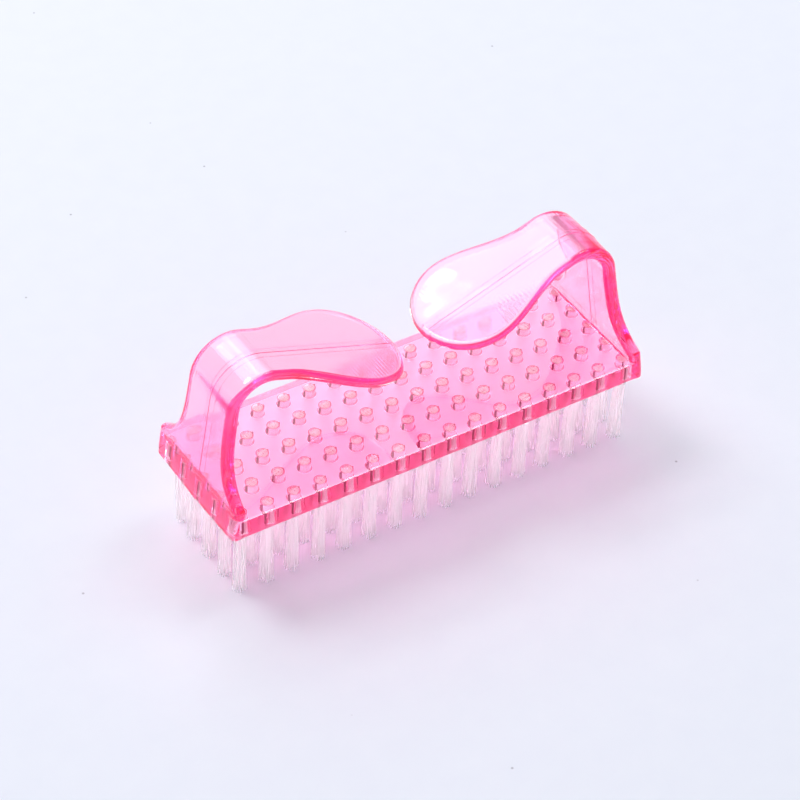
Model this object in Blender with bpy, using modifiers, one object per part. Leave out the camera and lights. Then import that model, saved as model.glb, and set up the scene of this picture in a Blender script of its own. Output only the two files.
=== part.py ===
"""Nail dust brush: a clear moulded body with two curled finger handles, and 80 tufts of bristle.

Metres, +Z up, +X along the brush. The origin is on the surface that the brush stands on,
under the middle of the bristle field. Driving dimensions come first, in millimetres.
"""

import math

import bmesh
import bpy
import numpy as np
from mathutils import Matrix

MM = 0.001

# Block that holds the bristles, its length and height taken at the parting plane
BLOCK_LENGTH = 90.7
BLOCK_WIDTH = 28.4
BLOCK_HEIGHT = 4.5
TOP_FALL = 0.45
TOP_EDGE_ROUND = 0.45

# Holes for the tufts, in a grid
TUFT_COLUMNS = 16
TUFT_ROWS = 5
END_MARGIN = 3.5
SIDE_MARGIN = 2.9
HOLE_DIAMETER = 2.5
HOLE_DEPTH = 3.5

# Bristles
BRISTLE_LENGTH = 16.3
STRANDS_PER_TUFT = 6
STRAND_WIDTH = 0.46
TUFT_ROOT_RADIUS = 0.62
TUFT_SPREAD = 0.42
EDGE_LEAN = 0.55
END_LEAN_POWER = 5
SIDE_LEAN_POWER = 3
SLICE_THICKNESS = 0.5
CLEARANCE = 0.3

# Handles: a strip that rises from each end wall, curls over and widens into a paddle
HANDLE_RISE = 29.9
UPRIGHT_THICKNESS = 3.1
PADDLE_THICKNESS = 2.5
HANDLE_LEAN = 8.6
HANDLE_SLOPE = 19.3
BEND_RADIUS = 6.7
FOOT_RADIUS = 16.0
TIP_GAP = 6.5
NECK_WIDTH = 14.5
PADDLE_WIDTH = 23.7
PADDLE_SWELL = 17.1
PADDLE_ROUND = 10.7
SHOULDER_RISE = 1.7
SHOULDER_ROUND = 0.35
FLARE_REACH = 3.2
FLARE_SPAN = 4 * FLARE_REACH
RIM_RADIUS = 1.1
BAND_WIDTH = 2.2
BAND_STEP = 0.09
FACE_DRAFT = 1.0

# Fineness of the faceted surfaces
HOLE_SIDES = 12
PLUG_SIDES = 8
STRAND_SIDES = 3
EDGE_STEPS = 3
RIM_STEPS = 3
FOOT_STEPS = 2
FLARE_STEPS = 9
FLARE_CROWDING = 1.5
UPRIGHT_STEPS = 2
BEND_STEPS = 10
SWELL_STEPS = 8
TIP_STEPS = 9
SHARP_ANGLE = 35.0

# Overlaps that make the joins clean, never seen on the finished solids
OVERCUT = 1.0
SUNK = 0.02
WELD = 0.001

PITCH_X = (BLOCK_LENGTH - 2 * END_MARGIN) / (TUFT_COLUMNS - 1)
PITCH_Y = (BLOCK_WIDTH - 2 * SIDE_MARGIN) / (TUFT_ROWS - 1)
UNDERSIDE = BRISTLE_LENGTH


def clear_scene():
    for obj in list(bpy.data.objects):
        bpy.data.objects.remove(obj, do_unlink=True)


def new_collection(name):
    collection = bpy.data.collections.new(name)
    bpy.context.scene.collection.children.link(collection)
    return collection


def plastic(name, colour, roughness, transmission=0.0):
    material = bpy.data.materials.new(name)
    material.use_nodes = True
    shader = material.node_tree.nodes["Principled BSDF"]
    shader.inputs["Base Color"].default_value = colour
    shader.inputs["Roughness"].default_value = roughness
    shader.inputs["Metallic"].default_value = 0.0
    shader.inputs["Transmission Weight"].default_value = transmission
    return material


def add_object(name, bm, collection):
    """An object with the mesh of bm, which is in millimetres above the underside of the block."""
    bmesh.ops.transform(bm, matrix=Matrix.Translation((0, 0, UNDERSIDE)), verts=bm.verts)
    bmesh.ops.scale(bm, vec=(MM, MM, MM), verts=bm.verts)
    bmesh.ops.recalc_face_normals(bm, faces=bm.faces)
    mesh = bpy.data.meshes.new(name)
    bm.to_mesh(mesh)
    bm.free()
    mesh.shade_smooth()
    mesh.set_sharp_from_angle(angle=math.radians(SHARP_ANGLE))
    obj = bpy.data.objects.new(name, mesh)
    collection.objects.link(obj)
    return obj


def as_cutter(obj):
    obj.hide_render = True
    obj.display_type = "WIRE"
    return obj


def add_boolean(obj, operation, other):
    modifier = obj.modifiers.new(other.name, "BOOLEAN")
    modifier.operation = operation
    modifier.solver = "EXACT"
    modifier.object = other


def add_box(bm, low, high):
    """Adds a box between two corners to bm and returns its vertices."""
    size = [b - a for a, b in zip(low, high)]
    centre = [(a + b) / 2 for a, b in zip(low, high)]
    matrix = Matrix.Translation(centre) @ Matrix.Diagonal((*size, 1.0))
    return bmesh.ops.create_cube(bm, size=1.0, matrix=matrix)["verts"]


def add_cylinder(bm, centre, radius, low, high, sides):
    """Adds an upright cylinder with its ends at heights low and high."""
    matrix = Matrix.Translation((centre[0], centre[1], (low + high) / 2))
    bmesh.ops.create_cone(bm, cap_ends=True, segments=sides, radius1=radius, radius2=radius,
                          depth=high - low, matrix=matrix)


def column_x(column):
    return (column - (TUFT_COLUMNS - 1) / 2) * PITCH_X


def row_y(row):
    return (row - (TUFT_ROWS - 1) / 2) * PITCH_Y


def handle_segments():
    """(length, radius) of each stretch of the strip's middle line, from the underside up.

    The foot curves in to the lean, the upright is straight, the bend turns the strip over and
    the paddle slopes down to its tip. A straight stretch has no radius.
    """
    lean = math.radians(HANDLE_LEAN)
    over = math.radians(90 + HANDLE_SLOPE)
    crest = HANDLE_RISE - (UPRIGHT_THICKNESS + PADDLE_THICKNESS) / 4
    bend_rise = BEND_RADIUS * (1 - math.sin(lean))
    upright = (crest - bend_rise - FOOT_RADIUS * math.sin(lean)) / math.cos(lean)
    inwards = FOOT_RADIUS * (1 - math.cos(lean)) + upright * math.sin(lean)
    inwards += BEND_RADIUS * (math.cos(lean) - math.cos(over))
    reach = (BLOCK_LENGTH - UPRIGHT_THICKNESS - TIP_GAP) / 2
    ramp = (reach - inwards) / math.sin(over)
    return [
        (FOOT_RADIUS * lean, FOOT_RADIUS),
        (upright, 0.0),
        (BEND_RADIUS * (over - lean), BEND_RADIUS),
        (ramp, 0.0),
    ]


def handle_line(distance):
    """Points and headings of the strip's middle line at these distances along it.

    The heading is the angle from straight up, turning inwards. Each stretch is a straight line
    or an arc, so a point is the stretch's start plus the chord.
    """
    x = np.full(distance.shape, (UPRIGHT_THICKNESS - BLOCK_LENGTH) / 2)
    z = np.zeros(distance.shape)
    heading = np.zeros(distance.shape)
    left = distance.copy()
    last = len(handle_segments()) - 1
    for index, (length, radius) in enumerate(handle_segments()):
        here = left if index == 0 else np.clip(left, 0.0, None)
        step = here if index == last else np.minimum(here, length)
        if radius:
            after = heading + step / radius
            x += radius * (np.cos(heading) - np.cos(after))
            z += radius * (np.sin(after) - np.sin(heading))
            heading = after
        else:
            x += step * np.sin(heading)
            z += step * np.cos(heading)
        left = left - length
    return x, z, heading


def handle_outline():
    """Distances along the strip and half widths there, from below the block to the tip.

    The foot is as wide as the block. Above a rounded shoulder the width falls away to the neck
    as an exponential, swells into the paddle as a smooth step, and closes as half an ellipse.
    """
    foot_end, bend_start, bend_end, tip = np.cumsum([part[0] for part in handle_segments()])
    round_start = tip - PADDLE_ROUND
    swell_start = round_start - PADDLE_SWELL
    shoulder = BLOCK_HEIGHT + SHOULDER_RISE
    flare_end = min(shoulder + FLARE_SPAN, bend_start)
    flare_steps = np.linspace(0.0, 1.0, FLARE_STEPS + 1) ** FLARE_CROWDING

    stations = np.concatenate([
        [-OVERCUT],
        np.linspace(0.0, foot_end, FOOT_STEPS + 1),
        [BLOCK_HEIGHT, shoulder - SHOULDER_ROUND],
        shoulder + (flare_end - shoulder) * flare_steps,
        np.linspace(flare_end, bend_start, UPRIGHT_STEPS + 1),
        np.linspace(bend_start, bend_end, BEND_STEPS + 1),
        np.linspace(bend_end, round_start, SWELL_STEPS + 1),
    ])
    stations = np.unique(np.round(stations, 6))

    base = BLOCK_WIDTH / 2 - SUNK
    neck = NECK_WIDTH / 2
    paddle = PADDLE_WIDTH / 2
    flare = neck + (base - neck) * np.exp((shoulder - stations) / FLARE_REACH)
    corner = SHOULDER_ROUND * np.log1p(np.exp(-np.abs(flare - base) / SHOULDER_ROUND))
    step = np.clip((stations - swell_start) / PADDLE_SWELL, 0.0, 1.0)
    width = np.minimum(flare, base) - corner + (paddle - neck) * step ** 2 * (3 - 2 * step)

    turn = np.linspace(0.0, np.pi / 2, TIP_STEPS + 1)[1:]
    stations = np.concatenate([stations, round_start + PADDLE_ROUND * np.sin(turn)])
    width = np.concatenate([width, width[-1] * np.cos(turn)])
    width[-1] = 0.0
    return stations, width


def handle_sections():
    """Grid of points of half the strip: one row for each station, from the outer face's middle
    round the rim to the inner face's middle.

    The rim is an arc of RIM_RADIUS turned about the outline drawn in by that radius, square to
    the outline. A face stands proud across the band and falls away beyond it by the draft.
    """
    stations, width = handle_outline()
    along = np.gradient(stations)
    across = np.gradient(width)
    length = np.hypot(along, across)
    out_s = -across / length
    out_y = along / length
    out_s[0], out_y[0] = 0.0, 1.0
    out_s[-1], out_y[-1] = 1.0, 0.0
    rim_s = stations - RIM_RADIUS * out_s
    rim_y = np.clip(width - RIM_RADIUS * out_y, 0.0, None)
    bend = np.cumsum([part[0] for part in handle_segments()])[1:3]
    half = np.interp(rim_s, bend, [UPRIGHT_THICKNESS / 2, PADDLE_THICKNESS / 2])
    band = np.minimum(BAND_WIDTH / 2, rim_y / 2)
    step = np.minimum(BAND_STEP, rim_y - band)

    def height(y):
        return half - step - math.tan(math.radians(FACE_DRAFT)) * (y - band)

    columns = [(rim_s, np.zeros_like(band), half), (rim_s, band, half)]
    columns.append((rim_s, band + step, height(band + step)))
    for angle in np.linspace(np.pi / 2, 0.0, RIM_STEPS + 1):
        reach = RIM_RADIUS * math.cos(angle)
        up = height(rim_y) - RIM_RADIUS * (1 - math.sin(angle))
        columns.append((rim_s + reach * out_s, rim_y + reach * out_y, up))
    columns += [(s, y, -up) for s, y, up in reversed(columns)]

    points = np.empty((len(stations), len(columns), 3))
    for index, (s, y, up) in enumerate(columns):
        x, z, heading = handle_line(s)
        points[:, index] = np.stack(
            [x - up * np.cos(heading), y, z + up * np.sin(heading)], axis=1)
    return points


def make_handles(collection):
    """Both handles: half a strip, open at the parting plane, mirrored across and end to end."""
    points = handle_sections()
    bm = bmesh.new()
    rows = [[bm.verts.new(point) for point in row] for row in points]
    for lower, upper in zip(rows, rows[1:]):
        for a, b, c, d in zip(lower, lower[1:], upper[1:], upper):
            bm.faces.new((a, b, c, d))
    bm.faces.new(reversed(rows[0]))
    bmesh.ops.remove_doubles(bm, verts=bm.verts, dist=WELD)
    handles = add_object("handles", bm, collection)
    mirror = handles.modifiers.new("Mirror", "MIRROR")
    mirror.use_axis = (True, True, False)
    mirror.merge_threshold = WELD * MM
    return as_cutter(handles)


def make_block(collection, material):
    """The plate between the handles: level below, with a top that falls from the parting line."""
    bm = bmesh.new()
    reach = (BLOCK_LENGTH - UPRIGHT_THICKNESS) / 2
    half = BLOCK_WIDTH / 2
    add_box(bm, (-reach, -half, -OVERCUT / 2), (reach, half, BLOCK_HEIGHT))
    bmesh.ops.bisect_plane(bm, geom=bm.verts[:] + bm.edges[:] + bm.faces[:],
                           plane_co=(0, 0, 0), plane_no=(0, 1, 0))
    for vert in bm.verts:
        if vert.co.z > 0 and abs(vert.co.y) > half / 2:
            vert.co.z -= TOP_FALL
    rim = [edge for edge in bm.edges
           if all(vert.co.z > 0 and abs(vert.co.y) > half / 2 for vert in edge.verts)]
    bmesh.ops.bevel(bm, geom=rim, offset=TOP_EDGE_ROUND, segments=EDGE_STEPS, profile=0.5,
                    affect="EDGES")
    block = add_object("body", bm, collection)
    block.data.materials.append(material)
    return block


def make_underside_cutter(collection):
    """Everything below the block, which levels the underside."""
    bm = bmesh.new()
    add_box(bm, (-BLOCK_LENGTH, -BLOCK_WIDTH, -2 * OVERCUT), (BLOCK_LENGTH, BLOCK_WIDTH, 0))
    return as_cutter(add_object("underside_cutter", bm, collection))


def slice_half_width():
    return TUFT_ROOT_RADIUS + STRAND_WIDTH


def slice_half_length():
    return row_y(TUFT_ROWS - 1) + slice_half_width()


def make_channel_cutter(collection):
    """Shallow channels across the underside, one for each column's slice of backing."""
    bm = bmesh.new()
    half = slice_half_width() + CLEARANCE
    reach = slice_half_length() + CLEARANCE
    top = SLICE_THICKNESS + CLEARANCE
    for column in range(TUFT_COLUMNS):
        x = column_x(column)
        add_box(bm, (x - half, -reach, -OVERCUT), (x + half, reach, top))
    return as_cutter(add_object("channel_cutter", bm, collection))


def make_hole_cutter(collection):
    """Blind holes, one for each tuft."""
    bm = bmesh.new()
    for column in range(TUFT_COLUMNS):
        for row in range(TUFT_ROWS):
            add_cylinder(bm, (column_x(column), row_y(row)), HOLE_DIAMETER / 2,
                         -OVERCUT, HOLE_DEPTH, HOLE_SIDES)
    return as_cutter(add_object("hole_cutter", bm, collection))


def make_body(parts, cutters, material):
    body = make_block(parts, material)
    add_boolean(body, "UNION", make_handles(cutters))
    add_boolean(body, "DIFFERENCE", make_underside_cutter(cutters))
    add_boolean(body, "DIFFERENCE", make_channel_cutter(cutters))
    add_boolean(body, "DIFFERENCE", make_hole_cutter(cutters))


def add_strand(bm, root, tip):
    """A straight strand between a point in the slice and one on the ground, its ends level."""
    top = SLICE_THICKNESS / 2
    length = top + BRISTLE_LENGTH
    shear = Matrix.Identity(4)
    shear[0][2] = (root[0] - tip[0]) / length
    shear[1][2] = (root[1] - tip[1]) / length
    centre = ((root[0] + tip[0]) / 2, (root[1] + tip[1]) / 2, top - length / 2)
    bmesh.ops.create_cone(bm, cap_ends=True, segments=STRAND_SIDES, radius1=STRAND_WIDTH / 2,
                          radius2=STRAND_WIDTH / 2, depth=length,
                          matrix=Matrix.Translation(centre) @ shear)


def add_tuft(bm, column, row):
    """The root in its hole and a ring of strands that part towards their tips.

    The outermost tufts lean outwards, as those of a used brush do.
    """
    centre = (column_x(column), row_y(row))
    add_cylinder(bm, centre, HOLE_DIAMETER / 2 - CLEARANCE, SLICE_THICKNESS / 2,
                 HOLE_DEPTH - CLEARANCE, PLUG_SIDES)
    lean_x = EDGE_LEAN * (2 * column / (TUFT_COLUMNS - 1) - 1) ** END_LEAN_POWER
    lean_y = EDGE_LEAN * (2 * row / (TUFT_ROWS - 1) - 1) ** SIDE_LEAN_POWER
    for strand in range(STRANDS_PER_TUFT):
        angle = 2 * math.pi * (strand + 0.5) / STRANDS_PER_TUFT
        side = (math.cos(angle), math.sin(angle))
        root = (centre[0] + TUFT_ROOT_RADIUS * side[0], centre[1] + TUFT_ROOT_RADIUS * side[1])
        tip = (root[0] + TUFT_SPREAD * side[0] + lean_x, root[1] + TUFT_SPREAD * side[1] + lean_y)
        add_strand(bm, root, tip)


def make_tuft_column(column, parts, cutters, material):
    """Five tufts across the brush, fused to a thin slice of backing that lies in its channel."""
    name = f"tuft_column_{column + 1:02d}"
    x = column_x(column)
    half = slice_half_width()
    reach = slice_half_length()
    bm = bmesh.new()
    add_box(bm, (x - half, -reach, 0), (x + half, reach, SLICE_THICKNESS))
    backing = add_object(name, bm, parts)
    backing.data.materials.append(material)

    bm = bmesh.new()
    for row in range(TUFT_ROWS):
        add_tuft(bm, column, row)
    add_boolean(backing, "UNION", as_cutter(add_object(f"{name}_strands", bm, cutters)))


def main():
    clear_scene()
    parts = new_collection("nail_dust_brush")
    cutters = new_collection("cutters")
    clear_pink = plastic("clear_pink_styrene", (0.95, 0.20, 0.45, 1.0), 0.05, transmission=0.9)
    nylon = plastic("white_nylon", (0.88, 0.87, 0.86, 1.0), 0.35)
    make_body(parts, cutters, clear_pink)
    for column in range(TUFT_COLUMNS):
        make_tuft_column(column, parts, cutters, nylon)


main()
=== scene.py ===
"""Looks of the nail dust brush: a clear pink moulded body, nylon tufts and their wire anchors.

Lengths are in millimetres, measured up from the surface that the bristle tips stand on, and
become metres where a mesh is made. +X runs along the brush and +Y across it.
"""

import math

import bmesh
import bpy
import numpy as np
from mathutils import Matrix, Vector

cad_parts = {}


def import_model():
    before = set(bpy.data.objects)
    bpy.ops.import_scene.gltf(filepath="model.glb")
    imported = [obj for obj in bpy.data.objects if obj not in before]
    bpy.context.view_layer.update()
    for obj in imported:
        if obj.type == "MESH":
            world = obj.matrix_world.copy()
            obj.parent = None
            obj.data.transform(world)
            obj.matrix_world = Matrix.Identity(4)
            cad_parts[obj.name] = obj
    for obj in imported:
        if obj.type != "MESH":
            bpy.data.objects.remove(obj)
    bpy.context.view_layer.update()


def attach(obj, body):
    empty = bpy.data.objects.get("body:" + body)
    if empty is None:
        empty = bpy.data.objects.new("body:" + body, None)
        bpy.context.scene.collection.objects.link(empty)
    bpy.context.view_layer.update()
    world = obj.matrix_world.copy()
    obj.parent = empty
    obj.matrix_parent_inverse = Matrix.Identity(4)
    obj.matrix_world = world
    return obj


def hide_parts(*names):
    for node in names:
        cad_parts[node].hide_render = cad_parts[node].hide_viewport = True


MM = 0.001

# Block, at the parting plane
BLOCK_LENGTH = 90.7
BLOCK_WIDTH = 28.4
BLOCK_HEIGHT = 4.5
UNDERSIDE = 16.3
TOP_FALL = 0.45                # of the low roof, from its ridge to the eaves
EAVE_BEVEL = 0.38
EAVE_TILT = math.radians(22)
EAVE_ROUND = 0.12
LOW_EDGE_BREAK = 0.12
FOOT_COVE = 0.5

# Handle strip: middle line, thickness and outline
HANDLE_RISE = 29.9
UPRIGHT_THICKNESS = 3.1
PADDLE_THICKNESS = 2.5
LEAN = math.radians(8.6)
OVER = math.radians(90 + 19.3)
BEND_RADIUS = 6.7
FOOT_RADIUS = 16.0
TIP_GAP = 6.5
NECK_WIDTH = 14.5
PADDLE_WIDTH = 23.7
PADDLE_SWELL = 17.1
PADDLE_ROUND = 10.7
SHOULDER = BLOCK_HEIGHT + 1.7
SHOULDER_ROUND = 0.35
SHOULDER_REACH = 1.2
FLARE_REACH = 3.2
RIM_RADIUS = 1.1
BAND_WIDTH = 2.2
BAND_STEP = 0.09
FACE_DRAFT = math.tan(math.radians(1.0))
PARTING_HEIGHT = 0.10
PARTING_HALF = 0.17
INNER_FACE = (28, 43)          # first and last strip of faces between the inner rims

# Sides of the mould, as material numbers, and how matt each one is
POLISHED, PLAIN, TEXTURED = 0, 1, 2
MATT_SIDE = (0.0, 0.35, 1.0)
SHARP_ANGLE = math.radians(20)
FACE_WEIGHT = 90

# Tufts and their holes
TUFT_COLUMNS = 16
TUFT_ROWS = 5
PITCH_X = (BLOCK_LENGTH - 2 * 3.5) / (TUFT_COLUMNS - 1)
PITCH_Y = (BLOCK_WIDTH - 2 * 2.9) / (TUFT_ROWS - 1)
HOLE_RADIUS = 1.25
HOLE_DEPTH = 3.5
HOLE_END_ROUND = 0.25
HOLE_MOUTH_ROUND = 0.2
HOLE_SIDES = 32

# Filaments
FOLDS_PER_TUFT = 30
FILAMENT_DIAMETER = 0.22
FILAMENT_SIDES = 4
TUFT_RADIUS = 1.1
TUFT_SPREAD = 0.28             # of the tips beyond the roots
END_LEAN = 0.38                # outwards, of the tufts at the brush's ends
CORNER_LOSS = 1.5              # shares of it that a corner tuft loses, so that it leans inwards
SIDE_LEAN = -0.65              # inwards, of the tufts along its sides
TUFT_LEAN_VARIES = 0.08
ROOT_VARIES = 0.05
TIP_VARIES = 0.07
BOW_VARIES = 0.10
TIP_LIFT = (0.03, 0.2)         # lowest and highest tip
LEG_RINGS = 4
FOLD_RINGS = 6
FOLD_ROOF = 3.34               # above the underside
FOLD_FALL = 0.6                # of that for each mm that a fold is narrower than the hole there
FOLD_ROUND = 0.6               # height of its arc
FOLD_SQUARENESS = 0.6          # power of that arc, 1 for a half circle
GOLDEN_ANGLE = 2.399963
WIRE_CLEARANCE = 0.04          # of half a turn, between the wire and the nearest root

# Wire anchors. They are wider than the holes, and their ends bite into the walls.
ANCHOR_LENGTH = 3.0
ANCHOR_HEIGHT = 2.9
ANCHOR_THICKNESS = 0.26
ANCHOR_MIDDLE = 1.6            # above the underside
ANCHOR_BOW = 0.12
ANCHOR_STATIONS = 7
ANCHOR_TILT_VARIES = 0.06
ANCHOR_TURN = 0.27
ANCHOR_TURN_VARIES = 0.1
CORNER_TURN = 0.72

# Camera, at the photograph's angle and distance
CAMERA_PLACE = (-241.9608, -365.2182, 409.6119)
CAMERA_RIGHT = (0.847529, -0.530041, 0.027413)
CAMERA_UP = (0.335494, 0.575042, 0.746171)
CAMERA_FORWARD = (0.411264, 0.623204, -0.66519)
CAMERA_LENS = 141.058

# Studio
TABLE_HALF = 3000.0
KEY_LIGHT = (-0.08, 0.635, 0.77)
PLATE_PANEL = (0.33, 0.645, 0.69)
LAMP_AIM = 0.03                # metres above the table


def srgb(code):
    """Linear colour of an sRGB hex value such as F0F5FE."""
    values = np.array([int(code[i:i + 2], 16) / 255 for i in (0, 2, 4)])
    linear = np.where(values <= 0.04045, values / 12.92, ((values + 0.055) / 1.055) ** 2.4)
    return (*linear.tolist(), 1.0)


def cells(size):
    """Scale at which the cells of a noise or Voronoi pattern are this many millimetres wide."""
    return 1 / (size * MM)


def bands(period):
    """Scale at which a wave pattern, 20 radians to its unit, has this period in millimetres."""
    return 2 * math.pi / (20 * period * MM)


def add_node(owner, kind, settings=(), links=()):
    """A node with its settings, a property or an input each, and its input links."""
    tree = owner.node_tree
    node = tree.nodes.new(kind)
    for name, value in dict(settings).items():
        if isinstance(name, int) or name in node.inputs:
            node.inputs[name].default_value = value
        else:
            setattr(node, name, value)
    for name, source in dict(links).items():
        tree.links.new(source, node.inputs[name])
    return node


def new_material(name):
    """An empty node material, and its Object coordinates."""
    material = bpy.data.materials.new(name)
    material.use_nodes = True
    material.node_tree.nodes.clear()
    return material, add_node(material, "ShaderNodeTexCoord").outputs["Object"]


def new_mesh(name, points, faces):
    """An object with this mesh, given in millimetres."""
    mesh = bpy.data.meshes.new(name)
    mesh.from_pydata((np.asarray(points, float) * MM).tolist(), [], faces)
    mesh.validate()
    obj = bpy.data.objects.new(name, mesh)
    bpy.context.scene.collection.objects.link(obj)
    return obj


def grid_faces(rows, columns, closed):
    """Quads of a grid of points, closed round the columns where asked, as an index array."""
    across = np.arange(columns if closed else columns - 1)
    along = np.arange(rows - 1)[:, None] * columns
    here = along + across
    beside = along + (across + 1) % columns
    return np.stack([here, beside, beside + columns, here + columns], axis=-1).reshape(-1, 4)


def tube_faces(rings, sides, count=1):
    """Faces of closed tubes, one after another: each one's wall, its first and its last end."""
    wall = grid_faces(rings, sides, closed=True)
    ends = np.stack([np.arange(sides)[::-1], np.arange(sides) + (rings - 1) * sides])
    faces = []
    for start in range(0, count * rings * sides, rings * sides):
        faces += [*(wall + start).tolist(), *(ends + start).tolist()]
    return faces


# --------------------------------------------------------------------------------------------
# Moulded body
# --------------------------------------------------------------------------------------------

def strip_segments():
    """(length, radius) of foot, upright, bend and ramp along the strip's middle line."""
    crest = HANDLE_RISE - (UPRIGHT_THICKNESS + PADDLE_THICKNESS) / 4
    bend_rise = BEND_RADIUS * (1 - math.sin(LEAN))
    upright = (crest - bend_rise - FOOT_RADIUS * math.sin(LEAN)) / math.cos(LEAN)
    inwards = FOOT_RADIUS * (1 - math.cos(LEAN)) + upright * math.sin(LEAN)
    inwards += BEND_RADIUS * (math.cos(LEAN) - math.cos(OVER))
    ramp = ((BLOCK_LENGTH - UPRIGHT_THICKNESS - TIP_GAP) / 2 - inwards) / math.sin(OVER)
    return [(FOOT_RADIUS * LEAN, FOOT_RADIUS), (upright, 0.0),
            (BEND_RADIUS * (OVER - LEAN), BEND_RADIUS), (ramp, 0.0)]


def strip_line(distance):
    """x, z and heading from straight up at these distances: each stretch adds a chord."""
    x = np.full(distance.shape, (UPRIGHT_THICKNESS - BLOCK_LENGTH) / 2)
    z = np.full(distance.shape, UNDERSIDE)
    heading = np.zeros(distance.shape)
    left = distance.copy()
    segments = strip_segments()
    for index, (length, radius) in enumerate(segments):
        here = left if index == 0 else np.clip(left, 0.0, None)
        step = here if index == len(segments) - 1 else np.minimum(here, length)
        if radius:
            after = heading + step / radius
            x += radius * (np.cos(heading) - np.cos(after))
            z += radius * (np.sin(after) - np.sin(heading))
            heading = after
        else:
            x += step * np.sin(heading)
            z += step * np.cos(heading)
        left = left - length
    return x, z, heading


def strip_outline():
    """Stations along the strip and half widths there.

    Full width up to a rounded shoulder, an exponential fall to the neck, a smooth step out to
    the paddle, and half an ellipse round the tip.
    """
    foot_end, bend_start, bend_end, tip = np.cumsum([part[0] for part in strip_segments()])
    round_start = tip - PADDLE_ROUND
    swell_start = round_start - PADDLE_SWELL
    flare_start = SHOULDER + SHOULDER_REACH
    flare_end = min(SHOULDER + 4 * FLARE_REACH, bend_start)
    stations = np.unique(np.round(np.concatenate([
        np.linspace(0.0, foot_end, 5),
        np.linspace(foot_end, SHOULDER - SHOULDER_REACH, 6),
        np.linspace(SHOULDER - SHOULDER_REACH, flare_start, 17),
        flare_start + (flare_end - flare_start) * np.linspace(0, 1, 21) ** 1.3,
        np.linspace(flare_end, bend_start, 5),
        np.linspace(bend_start, bend_end, 41),
        np.linspace(bend_end, round_start, 33),
    ]), 5))
    base = BLOCK_WIDTH / 2
    neck = NECK_WIDTH / 2
    flare = neck + (base - neck) * np.exp((SHOULDER - stations) / FLARE_REACH)
    corner = SHOULDER_ROUND * np.log1p(np.exp(-np.abs(flare - base) / SHOULDER_ROUND))
    step = np.clip((stations - swell_start) / PADDLE_SWELL, 0.0, 1.0)
    swell = (PADDLE_WIDTH / 2 - neck) * step ** 2 * (3 - 2 * step)
    width = np.minimum(flare, base) - corner + swell
    turn = np.linspace(0.0, np.pi / 2, 33)[1:]
    stations = np.concatenate([stations, round_start + PADDLE_ROUND * np.sin(turn)])
    width = np.concatenate([width, width[-1] * np.cos(turn)])
    width[-1] = 0.0
    return stations, width


def strip_surface():
    """Grid (station, place round the section) of the left handle, as points.

    Going round, a section has the band's top, its small step, a drafted face, the rim's half
    circle turned square to the outline with the low ridge of the parting line on its crown, and
    the same on the inner side, then its mirror image.
    """
    stations, width = strip_outline()
    along, across = np.gradient(stations), np.gradient(width)
    length = np.hypot(along, across)
    out_s, out_y = -across / length, along / length
    out_s[0], out_y[0], out_s[-1], out_y[-1] = 0.0, 1.0, 1.0, 0.0
    rim_s = (stations - RIM_RADIUS * out_s)[:, None]
    rim_y = np.clip(width - RIM_RADIUS * out_y, 0.0, None)[:, None]
    out_s, out_y = out_s[:, None], out_y[:, None]
    bend = np.cumsum([part[0] for part in strip_segments()])[1:3]
    half = np.interp(rim_s, bend, [UPRIGHT_THICKNESS / 2, PADDLE_THICKNESS / 2])
    band = np.minimum(BAND_WIDTH / 2, rim_y / 2)
    step = np.minimum(BAND_STEP, rim_y - band)

    face = np.linspace(0.0, 1.0, 7)[None, :-1]
    face_y = band + step + (rim_y - band - step) * face
    face_up = half - step - FACE_DRAFT * (face_y - band)
    turn = np.linspace(np.pi / 2, 0.0, 9)[None]
    reach = RIM_RADIUS * np.cos(turn)
    rim_up = half - step - FACE_DRAFT * (rim_y - band) - RIM_RADIUS * (1 - np.sin(turn))
    zero = np.zeros_like(band)
    s = np.concatenate([rim_s, rim_s, rim_s + 0 * face, rim_s + reach * out_s], axis=1)
    y = np.concatenate([zero, band, face_y, rim_y + reach * out_y], axis=1)
    up = np.concatenate([half, half, face_up, rim_up], axis=1)

    # The ridge starts 1 mm above the shoulder and reaches its full height over 3 mm
    ridge = PARTING_HEIGHT * np.clip((rim_s - SHOULDER - 1.0) / 3.0, 0.0, 1.0)
    crown = RIM_RADIUS + ridge * np.array([[0.0, 1.0, 0.0]])
    crown_up = np.array([[1.0, 0.0, -1.0]]) * np.minimum(PARTING_HALF, rim_up[:, -1:] * 0.9)
    s = np.concatenate([s, rim_s + crown * out_s, s[:, ::-1]], axis=1)
    y = np.concatenate([y, rim_y + crown * out_y, y[:, ::-1]], axis=1)
    up = np.concatenate([up, crown_up, -up[:, ::-1]], axis=1)
    s = np.concatenate([s, s[:, -2:0:-1]], axis=1)
    y = np.concatenate([y, -y[:, -2:0:-1]], axis=1)
    up = np.concatenate([up, up[:, -2:0:-1]], axis=1)
    x, z, heading = strip_line(s)
    return np.stack([x - up * np.cos(heading), y, z + up * np.sin(heading)], axis=-1)


def turned_half_round(left):
    """Points of a left end's grid, and the same turned half round for the right end."""
    return np.concatenate([left.reshape(-1, 3), (left * (-1, -1, 1)).reshape(-1, 3)])


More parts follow.
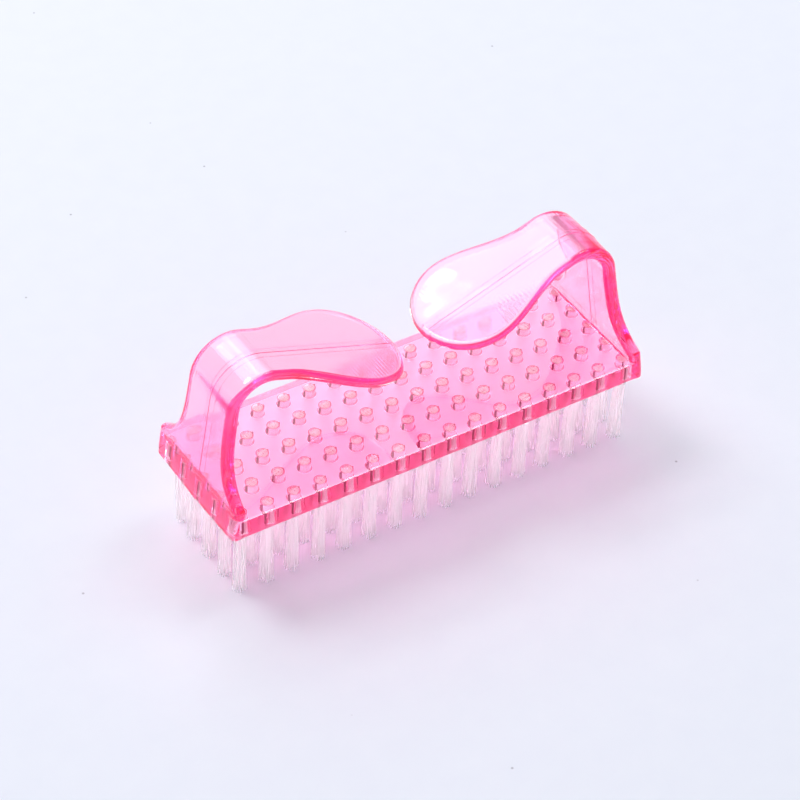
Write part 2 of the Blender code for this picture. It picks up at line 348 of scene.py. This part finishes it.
def make_handles():
    """Both handles, closed by a face under the foot and by the outline's meeting at the tip."""
    left = strip_surface()
    rows, columns = left.shape[:2]
    wall = grid_faces(rows, columns, closed=True)
    foot = np.arange(columns)[::-1]
    faces = []
    for start in (0, rows * columns):
        faces += [*(wall + start).tolist(), (foot + start).tolist()]
    handles = new_mesh("handles", turned_half_round(left), faces)
    place = np.tile(np.arange(columns), rows - 1)
    inner = (place >= INNER_FACE[0]) & (place <= INNER_FACE[1])
    side = np.append(np.where(inner, PLAIN, POLISHED), POLISHED).astype(np.int32)
    handles.data.polygons.foreach_set("material_index", np.tile(side, 2))
    return handles


def make_coves():
    """Coves in the corners between the plate's top and the handles' inner faces.

    A section is a quarter circle that touches both, with its back sunk into both. Its radius
    goes to nothing towards the rims, by the root of the distance left.
    """
    y = np.linspace(-1.0, 1.0, 29) * (BLOCK_WIDTH / 2 - RIM_RADIUS)
    beyond = np.clip(np.abs(y) - BAND_WIDTH / 2, 0.0, None)
    thin = np.minimum(beyond, BAND_STEP) + FACE_DRAFT * beyond
    top = BLOCK_HEIGHT - TOP_FALL * np.abs(y) / (BLOCK_WIDTH / 2 - EAVE_BEVEL)
    middle, _, heading = strip_line(np.array([BLOCK_HEIGHT - 0.05]))
    slant = math.tan(heading[0])
    corner = middle[0] + (UPRIGHT_THICKNESS / 2 - thin) / math.cos(heading[0])
    corner = (corner - (BLOCK_HEIGHT - top) * slant)[:, None]
    ending = 0.2
    share = np.clip(1 - np.abs(y / y[-1]), 0.0, ending) / ending
    radius = (FOOT_COVE * np.sqrt(share) + 0.02)[:, None]
    turn = np.linspace(0.0, np.pi / 2, 7)
    past, sunk, buried = 1.05, -0.2, -0.6     # in radii
    out = np.concatenate([[past], 1 - np.sin(turn), [buried, buried]])
    rise = np.concatenate([[sunk], 1 - np.cos(turn), [1.0, sunk]])
    left = np.stack([corner + radius * out + radius * rise * slant,
                     np.repeat(y[:, None], len(out), axis=1),
                     UNDERSIDE + top[:, None] + radius * rise], axis=-1)
    return new_mesh("coves", turned_half_round(left), tube_faces(*left.shape[:2], count=2))


def make_block():
    """The plate: a section with a broken lower edge, a flat bevel and a small round at the
    eaves and a low roof, carried along X.
    """
    half = BLOCK_WIDTH / 2
    turn = np.linspace(0.0, np.pi / 2 - EAVE_TILT, 5)
    eave_y = half - EAVE_ROUND * (1 - np.cos(turn))
    bevel = EAVE_BEVEL - (half - eave_y[-1])
    eave_z = BLOCK_HEIGHT - TOP_FALL - bevel * math.tan(EAVE_TILT)
    eave_z = eave_z - EAVE_ROUND * (np.sin(turn[-1]) - np.sin(turn))
    eave_y = np.append(eave_y, half - EAVE_BEVEL)
    eave_z = np.append(eave_z, BLOCK_HEIGHT - TOP_FALL)
    low_y, low_z = [half - LOW_EDGE_BREAK, half], [0.0, LOW_EDGE_BREAK]
    y = np.concatenate([low_y, eave_y, [0.0], -eave_y[::-1], np.negative(low_y[::-1])])
    z = np.concatenate([low_z, eave_z, [BLOCK_HEIGHT], eave_z[::-1], low_z[::-1]])
    reach = (BLOCK_LENGTH - UPRIGHT_THICKNESS) / 2
    x = np.array([-reach, reach])[:, None] + 0 * y
    points = np.stack([x, y + 0 * x, z + UNDERSIDE + 0 * x], axis=-1)
    count = len(y)
    block = new_mesh("moulded_body", points.reshape(-1, 3), tube_faces(2, count))
    block.data.polygons[count - 1].material_index = TEXTURED
    return block


def tuft_centres():
    """x, y of each hole, column by column."""
    x = (np.arange(TUFT_COLUMNS) - (TUFT_COLUMNS - 1) / 2) * PITCH_X
    y = (np.arange(TUFT_ROWS) - (TUFT_ROWS - 1) / 2) * PITCH_Y
    return np.stack(np.meshgrid(x, y, indexing="ij"), axis=-1)


def make_hole_cutter():
    """Blind holes as turned profiles: rounded mouth, straight wall, rounded edge, flat end."""
    turn = np.linspace(0.0, np.pi / 2, 7)
    mouth = HOLE_RADIUS + HOLE_MOUTH_ROUND * (1 - np.sin(turn))
    rise = HOLE_MOUTH_ROUND * (1 - np.cos(turn))
    radius = np.concatenate([mouth[:1], mouth, HOLE_RADIUS - HOLE_END_ROUND * (1 - np.cos(turn))])
    height = np.concatenate([[-1.0], rise, HOLE_DEPTH - HOLE_END_ROUND * (1 - np.sin(turn))])
    angle = np.linspace(0, 2 * np.pi, HOLE_SIDES, endpoint=False)
    ring = np.stack([radius[:, None] * np.cos(angle), radius[:, None] * np.sin(angle),
                     np.repeat(height[:, None] + UNDERSIDE, HOLE_SIDES, axis=1)], axis=-1)
    centres = tuft_centres().reshape(-1, 2)
    places = np.concatenate([centres, np.zeros((len(centres), 1))], axis=1)
    points = places[:, None, None] + ring[None]
    return new_mesh("hole_cutter", points.reshape(-1, 3),
                    tube_faces(len(radius), HOLE_SIDES, count=len(centres)))


def weld_outward(obj):
    """Merges doubled points and turns every face outwards."""
    bm = bmesh.new()
    bm.from_mesh(obj.data)
    bmesh.ops.remove_doubles(bm, verts=bm.verts, dist=1e-7)
    bmesh.ops.recalc_face_normals(bm, faces=bm.faces)
    bm.to_mesh(obj.data)
    bm.free()


def mark_ridge_sharp(mesh):
    """Keeps the crease along the roof's ridge, which is too flat for the sharp angle."""
    spots = np.zeros(len(mesh.vertices) * 3, np.float32)
    mesh.vertices.foreach_get("co", spots)
    ends = np.zeros(len(mesh.edges) * 2, np.int32)
    mesh.edges.foreach_get("vertices", ends)
    ridge = (0.0, (UNDERSIDE + BLOCK_HEIGHT) * MM)
    off_ridge = np.abs(spots.reshape(-1, 3)[ends.reshape(-1, 2)][..., 1:] - ridge)
    sharp = np.zeros(len(mesh.edges), bool)
    mesh.edges.foreach_get("use_edge_sharp", sharp)
    mesh.edges.foreach_set("use_edge_sharp", sharp | (off_ridge.max(axis=(1, 2)) < 1e-5))


def make_body(material):
    """One closed body: block, handles and coves joined and the holes cut, with its matt sides
    marked.
    """
    body = make_block()
    others = [(make_handles(), "UNION"), (make_coves(), "UNION"),
              (make_hole_cutter(), "DIFFERENCE")]
    for obj in [body, *[other for other, _ in others]]:
        for carrier in (material, None, None):
            obj.data.materials.append(carrier)
        weld_outward(obj)
    for other, operation in others:
        modifier = body.modifiers.new(other.name, "BOOLEAN")
        modifier.operation = operation
        modifier.solver = "EXACT"
        modifier.object = other
    mesh = bpy.data.meshes.new_from_object(body.evaluated_get(
        bpy.context.evaluated_depsgraph_get()))
    body.modifiers.clear()
    body.data = mesh
    mesh.name = "moulded_body"
    for other, _ in others:
        bpy.data.objects.remove(other, do_unlink=True)
    side = np.zeros(len(mesh.polygons), np.int32)
    mesh.polygons.foreach_get("material_index", side)
    matt = mesh.attributes.new("matt_side", "FLOAT", "FACE")
    matt.data.foreach_set("value", np.array(MATT_SIDE, np.float32)[side])
    mesh.polygons.foreach_set("material_index", np.zeros_like(side))
    mesh.materials.clear()
    mesh.materials.append(material)
    mesh.shade_smooth()
    mesh.set_sharp_from_angle(angle=SHARP_ANGLE)
    mark_ridge_sharp(mesh)
    weighted = body.modifiers.new("Weighted Normal", "WEIGHTED_NORMAL")
    weighted.keep_sharp = True
    weighted.weight = FACE_WEIGHT
    return body


# --------------------------------------------------------------------------------------------
# Tufts and anchors
# --------------------------------------------------------------------------------------------

def anchor_turns():
    """How far each hole's anchor, and the fold over it, is turned from X. The machine sets the
    four corner tufts askew.
    """
    turns = np.random.default_rng(7).normal(ANCHOR_TURN, ANCHOR_TURN_VARIES,
                                            (TUFT_COLUMNS, TUFT_ROWS))
    turns[::TUFT_COLUMNS - 1, ::TUFT_ROWS - 1] += CORNER_TURN
    return turns


def filament_paths(centre, turned, lean, rng):
    """Middle lines of a tuft's folded filaments, as (filament, ring, 3).

    Each goes up from a tip, turns over the anchor in a squarish arc and comes down again. Roots
    lie on a sunflower spiral, so that they fill the hole evenly, and tips stand further out.
    """
    count = FOLDS_PER_TUFT
    radius = TUFT_RADIUS * np.sqrt((np.arange(count) + 0.5) / count)
    angle = np.arange(count) * GOLDEN_ANGLE / 2 % np.pi
    angle = angle * (1 - 2 * WIRE_CLEARANCE) + WIRE_CLEARANCE * np.pi
    root_a = np.stack([radius * np.cos(angle), radius * np.sin(angle)], axis=-1)
    root_a += rng.normal(0.0, ROOT_VARIES, root_a.shape)
    root_b = root_a * (1, -1) + rng.normal(0.0, ROOT_VARIES, root_a.shape)
    spin = np.array([[math.cos(turned), -math.sin(turned)], [math.sin(turned), math.cos(turned)]])
    down = np.linspace(1.0, 0.0, LEG_RINGS)
    legs = []
    for root in (root_a, root_b):
        root = root @ spin.T
        out = root * (TUFT_SPREAD / TUFT_RADIUS) + lean
        out = out + rng.normal(0.0, TIP_VARIES, out.shape)
        bow = rng.normal(0.0, BOW_VARIES, out.shape)
        share = down[None, :, None]
        flat = root[:, None] + out[:, None] * share + bow[:, None] * np.sin(np.pi * share)
        tip = rng.uniform(*TIP_LIFT, (count, 1))
        height = UNDERSIDE - (UNDERSIDE - tip) * down[None]
        legs.append(np.concatenate([flat, height[..., None]], axis=-1))
    start, end = [np.concatenate([root @ spin.T, np.zeros((count, 1))], axis=1)
                  for root in (root_a, root_b)]
    middle = (start + end) / 2
    half = (start - end) / 2
    span = np.linalg.norm(half, axis=1)
    widest = np.sqrt(np.maximum(TUFT_RADIUS ** 2 - middle[:, 0] ** 2 - middle[:, 1] ** 2, 0.01))
    top = UNDERSIDE + FOLD_ROOF - FOLD_FALL * np.clip(widest - span, 0.0, None)
    turn = np.linspace(0.0, np.pi, FOLD_RINGS)[None, :, None]
    rise = np.minimum(span, FOLD_ROUND)
    across = np.sign(np.cos(turn)) * np.abs(np.cos(turn)) ** FOLD_SQUARENESS
    over = middle[:, None] + half[:, None] * across
    over[..., 2] = (top - rise)[:, None] + rise[:, None] * np.sin(turn[..., 0]) ** FOLD_SQUARENESS
    paths = np.concatenate([legs[0], over, legs[1][:, ::-1]], axis=1)
    paths[..., :2] += centre
    return paths


def tube_grid(paths, radius):
    """Thin prisms about the paths, each section square to its path."""
    tangent = np.gradient(paths, axis=1)
    tangent /= np.linalg.norm(tangent, axis=-1, keepdims=True)
    side = paths[:, -1] - paths[:, 0]
    side = np.stack([-side[:, 1], side[:, 0], np.zeros(len(side))], axis=-1)
    side /= np.maximum(np.linalg.norm(side, axis=-1, keepdims=True), 1e-6)
    across = np.cross(tangent, side[:, None])
    across /= np.maximum(np.linalg.norm(across, axis=-1, keepdims=True), 1e-6)
    beside = np.cross(across, tangent)
    angle = np.linspace(0, 2 * np.pi, FILAMENT_SIDES, endpoint=False)[None, None, :, None]
    return paths[:, :, None] + radius * (np.cos(angle) * across[:, :, None]
                                         + np.sin(angle) * beside[:, :, None])


def make_bristles(column, materials):
    """The folded filaments of one column's five tufts, free legs and packed folds. Their cut
    ends stay flat.
    """
    rng = np.random.default_rng(100 + column)
    turns = anchor_turns()[column]
    tubes = []
    for row, centre in enumerate(tuft_centres()[column]):
        along = 2 * column / (TUFT_COLUMNS - 1) - 1
        across = 2 * row / (TUFT_ROWS - 1) - 1
        lean = np.array([END_LEAN * along ** 5 * (1 - CORNER_LOSS * across ** 4),
                         SIDE_LEAN * across ** 3])
        lean = lean + rng.normal(0.0, TUFT_LEAN_VARIES, 2)
        paths = filament_paths(centre, turns[row], lean, rng)
        tubes.append(tube_grid(paths, FILAMENT_DIAMETER / 2))
    points = np.concatenate(tubes)
    count, rings, sides = points.shape[:3]
    obj = new_mesh(f"bristles_{column + 1:02d}", points.reshape(-1, 3),
                   tube_faces(rings, sides, count))
    for material in materials:
        obj.data.materials.append(material)
    ring = np.repeat(np.arange(rings - 1), sides)
    packed = (ring >= LEG_RINGS - 1) & (ring < rings - LEG_RINGS)
    cut_ends = (False, False)
    # The packed folds take the second material, a copy painted darker and pinker as shade inside
    # the hole
    obj.data.polygons.foreach_set(
        "material_index", np.tile(np.append(packed, cut_ends).astype(np.int32), count))
    obj.data.polygons.foreach_set(
        "use_smooth", np.tile(np.append(np.ones(len(ring), bool), cut_ends), count))
    return obj


def make_anchors(material):
    """Flat wire staples, one across each hole: short upright strips with square ends, bowed
    upwards along a parabola.
    """
    rng = np.random.default_rng(8)
    share = np.linspace(-1.0, 1.0, ANCHOR_STATIONS)[:, None]
    ring = np.array([[-1, -1], [1, -1], [1, 1], [-1, 1]], float)[None]
    shape = (ANCHOR_STATIONS, 4)
    x = np.broadcast_to(share * ANCHOR_LENGTH / 2, shape)
    y = np.broadcast_to(ring[..., 0] * ANCHOR_THICKNESS / 2, shape)
    z = ring[..., 1] * ANCHOR_HEIGHT / 2 + ANCHOR_BOW * (1 - share ** 2)
    points = []
    for centre, turn in zip(tuft_centres().reshape(-1, 2), anchor_turns().ravel()):
        tilt = rng.normal(0.0, ANCHOR_TILT_VARIES)
        c, s = math.cos(turn), math.sin(turn)
        points.append(np.stack([centre[0] + x * c - y * s, centre[1] + x * s + y * c,
                                UNDERSIDE + ANCHOR_MIDDLE + z + x * tilt], axis=-1))
    obj = new_mesh("anchors", np.concatenate(points).reshape(-1, 3),
                   tube_faces(*shape, count=len(points)))
    obj.data.materials.append(material)
    return obj


# --------------------------------------------------------------------------------------------
# Materials
# --------------------------------------------------------------------------------------------

def clear_pink_polystyrene():
    """General purpose polystyrene, injection moulded. It is tinted by its depth, so that walls
    look pale and edges deep. A painted pink glow at every surface, standing in for the
    fluorescence of its daylight pink dye, lightens it whatever the light. The mould is polished
    outside, so that the body mirrors the room, and spark textured on the core side, so that the
    tufts look blurred from above. The mesh marks that in matt_side.
    """
    material, place = new_material("clear_pink_polystyrene")

    # Finger marks about 4.5 mm wide, where the gloss is duller, so that highlights are uneven
    handled = add_node(material, "ShaderNodeTexNoise", {
        "Scale": cells(4.545), "Detail": 4.0}, {"Vector": place})
    polish = add_node(material, "ShaderNodeMapRange", {
        "From Min": 0.5, "From Max": 0.75, "To Min": 0.015, "To Max": 0.06},
        {"Value": handled.outputs["Fac"]})

    # Hairlines from wiping, some 12 mm long, which blur the gloss a little. Real ones are about
    # 0.02 mm wide, and these are drawn over 20 times coarser so that they show.
    along = add_node(material, "ShaderNodeMapping", {
        "Rotation": (0.3, 0.2, 0.45), "Scale": (cells(12.5), cells(0.4545), cells(12.5))},
        {"Vector": place})
    strokes = add_node(material, "ShaderNodeTexNoise", {"Scale": 1.0, "Detail": 1.0},
                       {"Vector": along.outputs["Vector"]})
    hairlines = add_node(material, "ShaderNodeMapRange", {
        "From Min": 0.66, "From Max": 0.70, "To Max": 0.05}, {"Value": strokes.outputs["Fac"]})
    worn = add_node(material, "ShaderNodeMath", {}, {0: polish.outputs["Result"],
                                                     1: hairlines.outputs["Result"]})
    side = add_node(material, "ShaderNodeAttribute", {"attribute_name": "matt_side"})
    finish = add_node(material, "ShaderNodeMath", {"operation": "MULTIPLY_ADD", 1: 0.33},
                      {0: side.outputs["Fac"], 2: worn.outputs["Value"]})

    # Sink and flow of the cooling melt: swells 12.5 mm wide that bend the reflections
    sink = add_node(material, "ShaderNodeTexNoise", {"Scale": cells(12.5), "Detail": 1.0},
                    {"Vector": place})
    flow = add_node(material, "ShaderNodeBump", {"Distance": 0.08 * MM},
                    {"Height": sink.outputs["Fac"]})

    # Scallops that the mould's ball cutter left on the paddles, a fine hatching in patches
    # about 9 mm wide. A real step over is about 0.4 mm, and it is drawn at 0.75 mm so that it
    # shows.
    cutter = add_node(material, "ShaderNodeTexWave", {
        "bands_direction": "X", "Scale": bands(0.748), "Distortion": 1.5,
        "Detail Scale": 0.2}, {"Vector": place})
    patches = add_node(material, "ShaderNodeTexNoise", {"Scale": cells(9.09), "Detail": 1.0},
                       {"Vector": place})
    axes = add_node(material, "ShaderNodeSeparateXYZ", {}, {0: place})
    raised = add_node(material, "ShaderNodeMapRange", {
        "From Min": 26 * MM, "From Max": 34 * MM}, {"Value": axes.outputs["Z"]})
    shows = add_node(material, "ShaderNodeMapRange", {"From Min": 0.45, "From Max": 0.65},
                     {"Value": patches.outputs["Fac"], "To Max": raised.outputs["Result"]})
    scallops = add_node(material, "ShaderNodeMath", {"operation": "MULTIPLY"},
                        {0: cutter.outputs["Fac"], 1: shows.outputs["Result"]})
    marks = add_node(material, "ShaderNodeBump", {"Distance": 0.009 * MM},
                     {"Height": scallops.outputs["Value"], "Normal": flow.outputs["Normal"]})

    # The emission is a painted pink glow at every surface, in place of the pink dye's
    # fluorescence
    shader = add_node(material, "ShaderNodeBsdfPrincipled", {
        "Base Color": srgb("FFFFFF"), "IOR": 1.59, "Transmission Weight": 1.0,
        "Emission Color": srgb("FF3C78"), "Emission Strength": 0.09},
        {"Roughness": finish.outputs["Value"], "Normal": marks.outputs["Normal"]})
    depth = add_node(material, "ShaderNodeVolumeAbsorption", {
        "Color": srgb("FE1AD2"), "Density": 121.0})
    add_node(material, "ShaderNodeOutputMaterial", {}, {
        "Surface": shader.outputs[0], "Volume": depth.outputs[0]})
    return material


def nylon_filament(name, opacity, painted_glow, codes):
    """Extruded nylon monofilament: milky and softly glossy. Its pink tint is painted pink light
    from the plate, and a painted glow, partly the fluorescent whitener of white nylon, lightens
    the tufts in the plate's shade. A free one lets most light through, so that a tuft looks like
    frosted glass, and those packed in a hole let through less.
    """
    material, place = new_material(name)
    # Draw marks along a filament, 17 times as long as wide. Real ones are about 0.05 mm wide,
    # and these are drawn at 0.29 mm, wider than a filament, so that the strands differ.
    stretch = add_node(material, "ShaderNodeMapping", {"Scale": (1.0, 1.0, 0.06)},
                       {"Vector": place})
    strands = add_node(material, "ShaderNodeTexNoise", {"Scale": cells(0.2857), "Detail": 2.0},
                       {"Vector": stretch.outputs["Vector"]})
    # The two colours are milky white with painted pink light in them, and for the packed folds
    # painted shade too
    milk_and_pink_light = add_node(material, "ShaderNodeMix", {
        "data_type": "RGBA", "A": srgb(codes[0]), "B": srgb(codes[1])},
        {"Factor": strands.outputs["Fac"]})
    draw = add_node(material, "ShaderNodeMapRange", {"To Min": 0.2, "To Max": 0.45},
                    {"Value": strands.outputs["Fac"]})
    # The emission is a painted glow that lightens the tufts in shade
    shader = add_node(material, "ShaderNodeBsdfPrincipled", {
        "IOR": 1.53, "Alpha": opacity,
        "Emission Color": srgb("FFEEF8"), "Emission Strength": painted_glow,
        "Subsurface Weight": 1.0, "Subsurface Radius": (1.0, 1.0, 1.0),
        "Subsurface Scale": 0.3 * MM},
        {"Base Color": milk_and_pink_light.outputs["Result"], "Roughness": draw.outputs["Result"]})
    add_node(material, "ShaderNodeOutputMaterial", {}, {"Surface": shader.outputs[0]})
    return material


def tinned_wire():
    """Flattened steel wire, dull tinned, which shows as dark lines under the caps of the holes.
    Its raspberry tint is a guess, and is painted pink light: the colour that light through the
    pink walls gives the wire.
    """
    material, place = new_material("tinned_wire")
    # Drawing lines 0.25 mm wide and 2.5 mm long, coarser than real ones so that they show
    drawn = add_node(material, "ShaderNodeMapping", {
        "Scale": (cells(2.5), cells(0.25), cells(0.25))}, {"Vector": place})
    lines = add_node(material, "ShaderNodeTexNoise", {"Scale": 1.0, "Detail": 3.0},
                     {"Vector": drawn.outputs["Vector"]})
    # The raspberry colours are painted pink light on the grey tin
    tin_and_pink_light = add_node(material, "ShaderNodeMix", {
        "data_type": "RGBA", "A": srgb("7C1A50"), "B": srgb("A02C68")},
        {"Factor": lines.outputs["Fac"]})
    dull = add_node(material, "ShaderNodeMapRange", {"To Min": 0.28, "To Max": 0.55},
                    {"Value": lines.outputs["Fac"]})
    shader = add_node(material, "ShaderNodeBsdfPrincipled", {"Metallic": 1.0}, {
        "Base Color": tin_and_pink_light.outputs["Result"], "Roughness": dull.outputs["Result"]})
    add_node(material, "ShaderNodeOutputMaterial", {}, {"Surface": shader.outputs[0]})
    return material


def studio_table():
    """Uncoated white card: flat and matt, with faint fibre clouds and a few specks."""
    material, place = new_material("studio_table")
    # Clouds 6 mm wide, as card shows when it is held to the light
    clouds = add_node(material, "ShaderNodeTexNoise", {"Scale": cells(6.25), "Detail": 6.0},
                      {"Vector": place})
    card = add_node(material, "ShaderNodeMix", {
        "data_type": "RGBA", "A": srgb("E7EAF5"), "B": srgb("EBEEF7")},
        {"Factor": clouds.outputs["Fac"]})
    # Specks of dust about half a millimetre wide, one to a cell of 11 mm. Only the few that lie
    # in the table's plane show.
    dust = add_node(material, "ShaderNodeTexVoronoi", {"Scale": cells(11.111)},
                    {"Vector": place})
    near = add_node(material, "ShaderNodeMapRange", {
        "From Min": 0.012, "From Max": 0.03, "To Min": 1.0, "To Max": 0.0},
        {"Value": dust.outputs["Distance"]})
    specked = add_node(material, "ShaderNodeMix", {"data_type": "RGBA", "B": srgb("B9B9C4")},
                       {"A": card.outputs["Result"], "Factor": near.outputs["Result"]})
    shader = add_node(material, "ShaderNodeBsdfPrincipled", {
        "Roughness": 0.9, "Specular IOR Level": 0.0}, {"Base Color": specked.outputs["Result"]})
    add_node(material, "ShaderNodeOutputMaterial", {}, {"Surface": shader.outputs[0]})
    return material


# --------------------------------------------------------------------------------------------
# Camera and light
# --------------------------------------------------------------------------------------------

def make_camera():
    """The scene's camera, placed by its own axes."""
    data = bpy.data.cameras.new("camera")
    data.lens = CAMERA_LENS
    data.sensor_width = 36.0
    data.clip_start = 0.05
    data.clip_end = 20.0
    camera = bpy.data.objects.new("camera", data)
    bpy.context.scene.collection.objects.link(camera)
    axes = Matrix((CAMERA_RIGHT, CAMERA_UP, -Vector(CAMERA_FORWARD))).transposed()
    camera.matrix_world = Matrix.Translation(Vector(CAMERA_PLACE) * MM) @ axes.to_4x4()
    bpy.context.scene.camera = camera


def make_softbox(name, direction, distance, size, power, shift=(0.0, 0.0), turn=0.0,
                 shape="RECTANGLE"):
    """An area lamp of this radiant power in watts, facing the object from a direction. It may
    be shifted in its own plane, in metres along its level and its rising edge, and turned there.
    """
    data = bpy.data.lights.new(name, "AREA")
    data.shape = shape
    data.size, data.size_y = size
    data.energy = power
    lamp = bpy.data.objects.new(name, data)
    bpy.context.scene.collection.objects.link(lamp)
    away = Vector(direction).normalized()
    level = (Vector((1, 0, 0)) - away * away.x).normalized()
    rising = away.cross(level)
    place = away * distance + level * shift[0] + rising * shift[1] + Vector((0, 0, LAMP_AIM))
    axes = Matrix((level, rising, away)).transposed() @ Matrix.Rotation(turn, 3, "Z")
    lamp.matrix_world = Matrix.Translation(place) @ axes.to_4x4()


def make_table():
    """The white card that the brush stands on."""
    corners = [(-TABLE_HALF, -TABLE_HALF, 0), (TABLE_HALF, -TABLE_HALF, 0),
               (TABLE_HALF, TABLE_HALF, 0), (-TABLE_HALF, TABLE_HALF, 0)]
    floor = new_mesh("table", corners, [(0, 1, 2, 3)])
    floor.data.materials.append(studio_table())


def make_room():
    """The room's light: brighter behind than in front, with a low window in front of the
    bristles and a lit panel behind, which the plate mirrors towards the camera.
    """
    world = bpy.data.worlds.new("studio")
    bpy.context.scene.world = world
    world.use_nodes = True
    way = add_node(world, "ShaderNodeTexCoord").outputs["Generated"]
    axes = add_node(world, "ShaderNodeSeparateXYZ", {}, {0: way}).outputs
    toward = add_node(world, "ShaderNodeVectorMath", {
        "operation": "DOT_PRODUCT", 1: Vector(PLATE_PANEL).normalized()}, {0: way})

    # Smooth steps: what each one follows, where it starts and ends, and its two levels
    steps = {"room": (axes["Y"], -0.4, 0.7, 0.33, 0.50),
             "front": (axes["Y"], -0.3, 0.1, 1.15, 0.0),
             "low": (axes["Z"], 0.15, 0.5, 1.0, 0.0),
             "panel": (toward.outputs["Value"], 0.955, 0.998, 0.0, 2.0)}
    level = {}
    for name, (source, start, end, first, last) in steps.items():
        level[name] = add_node(world, "ShaderNodeMapRange", {
            "interpolation_type": "SMOOTHSTEP", "From Min": start, "From Max": end,
            "To Min": first, "To Max": last}, {"Value": source}).outputs["Result"]
    window = add_node(world, "ShaderNodeMath", {"operation": "MULTIPLY_ADD"}, {
        0: level["front"], 1: level["low"], 2: level["room"]})
    total = add_node(world, "ShaderNodeMath", {}, {0: window.outputs[0], 1: level["panel"]})
    background = world.node_tree.nodes["Background"]
    background.inputs["Color"].default_value = srgb("F8FAFF")
    world.node_tree.links.new(total.outputs[0], background.inputs["Strength"])


def make_lamps():
    """Softboxes behind, high on the right and high at the back left, and small lamps whose
    reflections draw the line along the near eave and the bright spots on the right paddle.
    """
    make_softbox("softbox", KEY_LIGHT, 1.2, (0.8, 0.6), 3.4)
    make_softbox("softbox_tube", KEY_LIGHT, 1.15, (0.12, 0.014), 0.010, (0.057, -0.022), -0.27)
    make_softbox("softbox_bulb", KEY_LIGHT, 1.14, (0.030, 0.020), 0.006, (0.043, 0.038),
                 shape="ELLIPSE")
    make_softbox("overhead_softbox", (0.42, 0.02, 0.85), 1.2, (0.7, 0.5), 2.2)
    make_softbox("overhead_tube", (0.415, -0.012, 0.91), 1.15, (0.26, 0.09), 0.5)
    make_softbox("back_softbox", (-0.30, 0.45, 0.85), 1.2, (0.4, 0.4), 4.3)


def set_rendering():
    """Plain colours, enough bounces for clear plastic behind clear plastic, and reflections
    that stay sharp.
    """
    scene = bpy.context.scene
    scene.view_settings.view_transform = "Standard"
    scene.cycles.blur_glossy = 0.0
    scene.cycles.max_bounces = 32
    scene.cycles.transmission_bounces = 32
    scene.cycles.transparent_max_bounces = 64
    scene.cycles.diffuse_bounces = 8
    scene.cycles.glossy_bounces = 8


def main():
    """The dressed brush in its studio."""
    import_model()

    body = make_body(clear_pink_polystyrene())
    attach(body, "root")
    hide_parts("body")
    # The free filaments are tinted with painted pink light; the packed folds are a copy painted
    # darker and pinker, as shade inside the holes, and both carry a painted glow
    nylon = [nylon_filament("nylon_filament", 0.15, 0.12, ("FFF0F5", "FFFAFD")),
             nylon_filament("packed_nylon_fold_painted_shade", 0.6, 0.05, ("E8D0D8", "FAEAEF"))]
    for column in range(TUFT_COLUMNS):
        bristles = make_bristles(column, nylon)
        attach(bristles, "root")
        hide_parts(f"tuft_column_{column + 1:02d}")
    anchors = make_anchors(tinned_wire())
    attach(anchors, "root")

    make_camera()
    make_table()
    make_room()
    make_lamps()
    set_rendering()


main()
